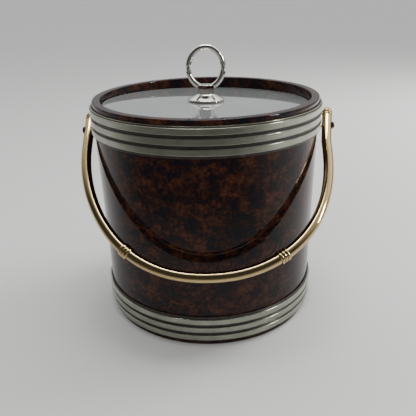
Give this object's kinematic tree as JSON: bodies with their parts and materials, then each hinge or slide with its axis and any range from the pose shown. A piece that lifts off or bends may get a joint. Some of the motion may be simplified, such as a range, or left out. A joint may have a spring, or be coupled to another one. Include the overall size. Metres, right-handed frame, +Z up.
{
  "type": "ice bucket",
  "caption": "Insulated ice bucket with a glossy tortoise-pattern shell, ribbed metal bands, a recessed lid with a ring knob and a swinging brass bail.",
  "frame": {"origin": "centre of the flat face that the bucket stands on, on the bucket's axis", "axes": "+Z up along the bucket's axis, -Y towards the side that the bail hangs over, X through the two bail pivots"},
  "size_m": [0.2309, 0.2218, 0.2407],
  "materials": {
    "tortoise_wrap": "mirror-gloss laminate with rust, brown and blue-black mottling",
    "band_backing": "dark satin strip",
    "pewter_stripe": "satin pewter grey with brighter edges",
    "liner_plastic": "moulded, off-white",
    "foam": "open-cell insulation",
    "base_board": "pressed fibre board",
    "dark_steel": "dark bronzed",
    "brass": "polished, slightly aged",
    "acrylic": "polished light grey acrylic",
    "chrome": "polished, slightly warm"
  },
  "bodies": {
    "bucket": {"outer_shell": "tortoise_wrap", "rim_ring": "tortoise_wrap", "upper_band_backing": "band_backing", "upper_band_stripe_1": "pewter_stripe", "upper_band_stripe_2": "pewter_stripe", "upper_band_stripe_3": "pewter_stripe", "lower_band_backing": "band_backing", "lower_band_stripe_1": "pewter_stripe", "lower_band_stripe_2": "pewter_stripe", "lower_band_stripe_3": "pewter_stripe", "inner_liner": "liner_plastic", "foam_sleeve": "foam", "foam_disc": "foam", "base_board": "base_board", "pivot_screw_left": "dark_steel", "pivot_screw_right": "dark_steel", "pivot_spacer_left": "brass", "pivot_spacer_right": "brass", "pivot_nut_left": "dark_steel", "pivot_nut_right": "dark_steel"},
    "bail": {"bail_tube": "brass", "bail_finial_left": "brass", "bail_finial_right": "brass", "bail_knuckle_left": "brass", "bail_knuckle_right": "brass"},
    "lid": {"lid_disc": "acrylic", "lid_locating_ring": "acrylic", "knob_base": "chrome", "knob_loop": "chrome", "knob_screw": "chrome", "knob_washer": "chrome"}
  },
  "joints": [
    {"name": "bail_swing", "type": "hinge", "parent": "bucket", "child": "bail", "pos_m": [0, 0, 0.1675], "axis": [-1, 0, 0], "range_deg": [-6.3, 262.7]},
    {"name": "lid_lift", "type": "slide", "parent": "bucket", "child": "lid", "axis": [0, 0, 1], "range_m": [0, 0.045]}
  ]
}
